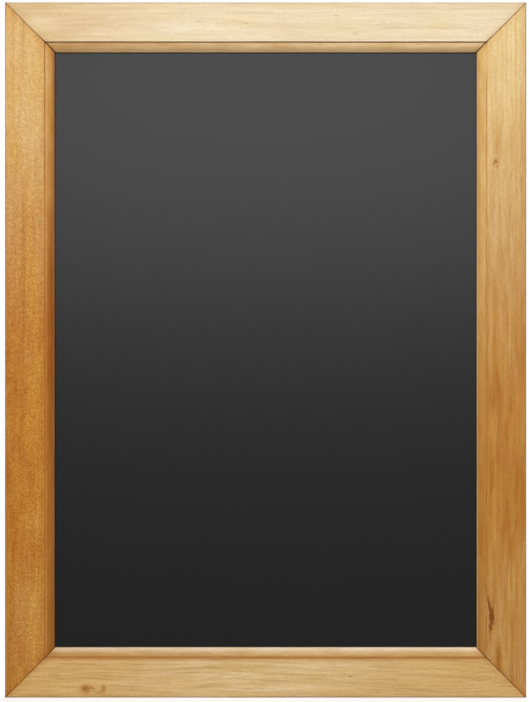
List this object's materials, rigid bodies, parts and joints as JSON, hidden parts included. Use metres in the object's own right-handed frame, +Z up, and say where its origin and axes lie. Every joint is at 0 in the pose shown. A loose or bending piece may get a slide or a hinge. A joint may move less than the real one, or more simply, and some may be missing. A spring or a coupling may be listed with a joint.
{
  "type": "wall chalkboard",
  "caption": "Portrait chalkboard panel in a mitred wood frame with a beaded inner edge, hung from swinging D-rings on its back.",
  "frame": {"origin": "middle of the board's box: halfway across, halfway up and halfway between the front face and the wall", "axes": "+X to the right of someone facing the board, +Y from the writing face to the wall, +Z up"},
  "size_m": [0.6, 0.025, 0.8],
  "materials": {
    "frame_wood": "honey stain under satin varnish",
    "writing_surface": "low-sheen black chalkboard paint on hardboard, bare brown back",
    "fastener_steel": "bright drawn steel",
    "hanger_steel": "zinc plated",
    "bumper_rubber": "matte black"
  },
  "bodies": {
    "frame": {"top_rail": "frame_wood", "bottom_rail": "frame_wood", "left_stile": "frame_wood", "right_stile": "frame_wood", "writing_panel": "writing_surface", "top_left_wedges": "fastener_steel", "top_right_wedges": "fastener_steel", "bottom_left_wedges": "fastener_steel", "bottom_right_wedges": "fastener_steel", "top_panel_points": "fastener_steel", "bottom_panel_points": "fastener_steel", "left_panel_points": "fastener_steel", "right_panel_points": "fastener_steel", "left_hanger_strap": "hanger_steel", "right_hanger_strap": "hanger_steel", "hanger_screws": "hanger_steel", "left_wall_bumper": "bumper_rubber", "right_wall_bumper": "bumper_rubber"},
    "left_ring": {"left_hanger_ring": "hanger_steel"},
    "right_ring": {"right_hanger_ring": "hanger_steel"}
  },
  "joints": [
    {"name": "left_ring_swing", "type": "hinge", "parent": "frame", "child": "left_ring", "pos_m": [-0.276, 0.00975, 0.24], "axis": [-1, 0, 0], "range_deg": [0, 175]},
    {"name": "right_ring_swing", "type": "hinge", "parent": "frame", "child": "right_ring", "pos_m": [0.276, 0.00975, 0.24], "axis": [-1, 0, 0], "range_deg": [0, 175]}
  ]
}
